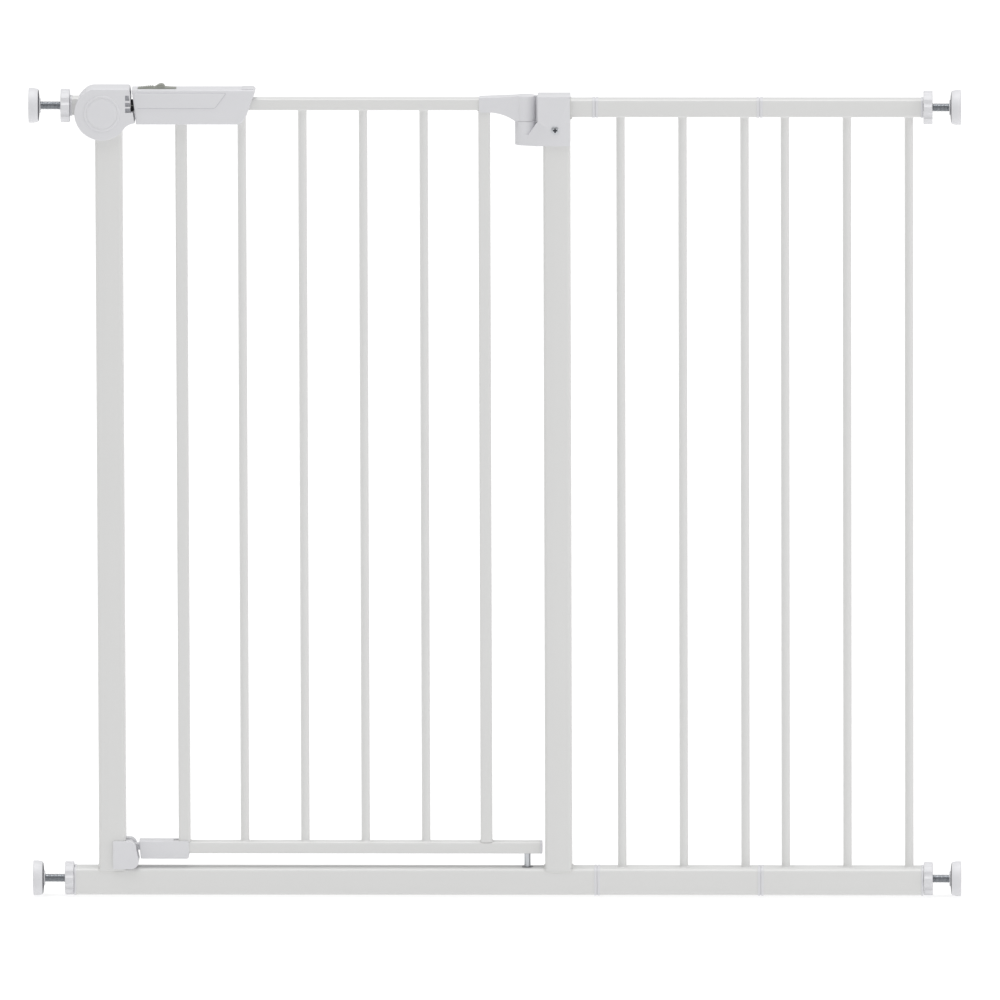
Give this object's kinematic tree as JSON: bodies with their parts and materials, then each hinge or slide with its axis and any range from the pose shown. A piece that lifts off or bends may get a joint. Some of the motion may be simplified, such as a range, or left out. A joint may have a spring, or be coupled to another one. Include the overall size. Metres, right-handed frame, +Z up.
{
  "type": "safety baby gate",
  "caption": "Pressure-mounted steel safety gate with a lift-and-swing barred door, thumb-slide latch handle, extension panels and threaded wall pads.",
  "frame": {"origin": "on the floor, under the middle of the whole gate", "axes": "+X runs along the gate from the latch side to the extension side, +Y away from the side with the badge, +Z up"},
  "size_m": [1.038, 0.04, 0.9184],
  "materials": {
    "frame_paint": "white satin powder coat on steel tube",
    "white_plastic": "white moulded nylon and ABS, fine satin texture",
    "grey_plastic": "mid-grey moulded plastic",
    "bolt_plastic": "black moulded nylon",
    "bush_nylon": "dark grey acetal",
    "zinc_steel": "bright zinc-plated steel",
    "spring_steel": "oiled spring wire",
    "pad_rubber": "grey soft rubber"
  },
  "bodies": {
    "frame": {"barrel_bush": "bush_nylon", "bottom_catch": "white_plastic", "bottom_rail": "frame_paint", "bracket_screws": "zinc_steel", "closing_spring": "spring_steel", "extension_1_bars": "frame_paint", "extension_1_bottom_rail": "frame_paint", "extension_1_top_rail": "frame_paint", "extension_2_bars": "frame_paint", "extension_2_bottom_rail": "frame_paint", "extension_2_top_rail": "frame_paint", "far_bottom_insert": "white_plastic", "far_top_insert": "white_plastic", "hinge_bracket": "white_plastic", "hinge_post": "frame_paint", "hinge_side_stub": "frame_paint", "housing_screws": "zinc_steel", "joint_1_bottom_plug": "white_plastic", "joint_1_top_plug": "white_plastic", "joint_2_bottom_plug": "white_plastic", "joint_2_top_plug": "white_plastic", "latch_badge": "white_plastic", "latch_bottom_insert": "white_plastic", "latch_housing_front": "white_plastic", "latch_housing_rear": "white_plastic", "latch_post": "frame_paint", "latch_side_stub": "frame_paint", "latch_top_insert": "white_plastic", "lower_pivot_bush": "bush_nylon", "strike_insert": "grey_plastic"},
    "hinge_pin": {"pivot_pin": "zinc_steel"},
    "door": {"door_top_rail": "frame_paint", "door_bottom_rail": "frame_paint", "latch_stile": "frame_paint", "hinge_stile": "frame_paint", "door_bars": "frame_paint", "hinge_arm": "white_plastic", "lower_pivot_pin": "zinc_steel", "rail_end_cap": "white_plastic", "bottom_sleeve": "white_plastic", "bottom_tongue": "grey_plastic", "handle_front": "white_plastic", "handle_rear": "white_plastic", "handle_screws": "zinc_steel", "lock_spring": "spring_steel"},
    "lock": {"thumb_slider": "grey_plastic", "lock_bolt": "bolt_plastic"},
    "nut_latch_top": {"adjuster_nut_latch_top": "white_plastic"},
    "spindle_latch_top": {"spindle_rod_latch_top": "zinc_steel", "wall_pad_latch_top": "white_plastic"},
    "nut_latch_bottom": {"adjuster_nut_latch_bottom": "white_plastic"},
    "spindle_latch_bottom": {"spindle_rod_latch_bottom": "zinc_steel", "wall_pad_latch_bottom": "white_plastic"},
    "nut_far_top": {"adjuster_nut_far_top": "white_plastic"},
    "spindle_far_top": {"spindle_rod_far_top": "zinc_steel", "wall_pad_far_top": "white_plastic"},
    "nut_far_bottom": {"adjuster_nut_far_bottom": "white_plastic"},
    "spindle_far_bottom": {"spindle_rod_far_bottom": "zinc_steel", "wall_pad_far_bottom": "white_plastic"}
  },
  "joints": [
    {"name": "door_lift", "type": "slide", "parent": "frame", "child": "hinge_pin", "axis": [0, 0, 1], "range_m": [0, 0.012]},
    {"name": "door_swing", "type": "hinge", "parent": "hinge_pin", "child": "door", "pos_m": [0.034, 0, 0], "axis": [0, 0, 1], "range_deg": [-90, 90], "stiffness_Nm_per_rad": 0.5},
    {"name": "lock_slide", "type": "slide", "parent": "door", "child": "lock", "axis": [1, 0, 0], "range_m": [0, 0.0112], "stiffness_N_per_m": 250, "springref_m": -0.004, "deforming": ["lock_spring"]},
    {"name": "spindle_slide_latch_top", "type": "slide", "parent": "frame", "child": "spindle_latch_top", "axis": [-1, 0, 0], "range_m": [-0.018, 0.015]},
    {"name": "nut_turn_latch_top", "type": "hinge", "parent": "frame", "child": "nut_latch_top", "pos_m": [-0.4785, 0, 0.894], "axis": [-1, 0, 0], "range_deg": [-3600, 4320]},
    {"name": "spindle_slide_latch_bottom", "type": "slide", "parent": "frame", "child": "spindle_latch_bottom", "axis": [-1, 0, 0], "range_m": [-0.018, 0.015]},
    {"name": "nut_turn_latch_bottom", "type": "hinge", "parent": "frame", "child": "nut_latch_bottom", "pos_m": [-0.4785, 0, 0.0195], "axis": [-1, 0, 0], "range_deg": [-3600, 4320]},
    {"name": "spindle_slide_far_top", "type": "slide", "parent": "frame", "child": "spindle_far_top", "axis": [1, 0, 0], "range_m": [-0.018, 0.015]},
    {"name": "nut_turn_far_top", "type": "hinge", "parent": "frame", "child": "nut_far_top", "pos_m": [0.4785, 0, 0.892], "axis": [1, 0, 0], "range_deg": [-3600, 4320]},
    {"name": "spindle_slide_far_bottom", "type": "slide", "parent": "frame", "child": "spindle_far_bottom", "axis": [1, 0, 0], "range_m": [-0.018, 0.015]},
    {"name": "nut_turn_far_bottom", "type": "hinge", "parent": "frame", "child": "nut_far_bottom", "pos_m": [0.4785, 0, 0.0195], "axis": [1, 0, 0], "range_deg": [-3600, 4320]}
  ],
  "couplings": [
    {"joint": "nut_turn_latch_top", "follows": "spindle_slide_latch_top", "rad_per_m": -4188.8},
    {"joint": "nut_turn_latch_bottom", "follows": "spindle_slide_latch_bottom", "rad_per_m": -4188.8},
    {"joint": "nut_turn_far_top", "follows": "spindle_slide_far_top", "rad_per_m": -4188.8},
    {"joint": "nut_turn_far_bottom", "follows": "spindle_slide_far_bottom", "rad_per_m": -4188.8}
  ]
}
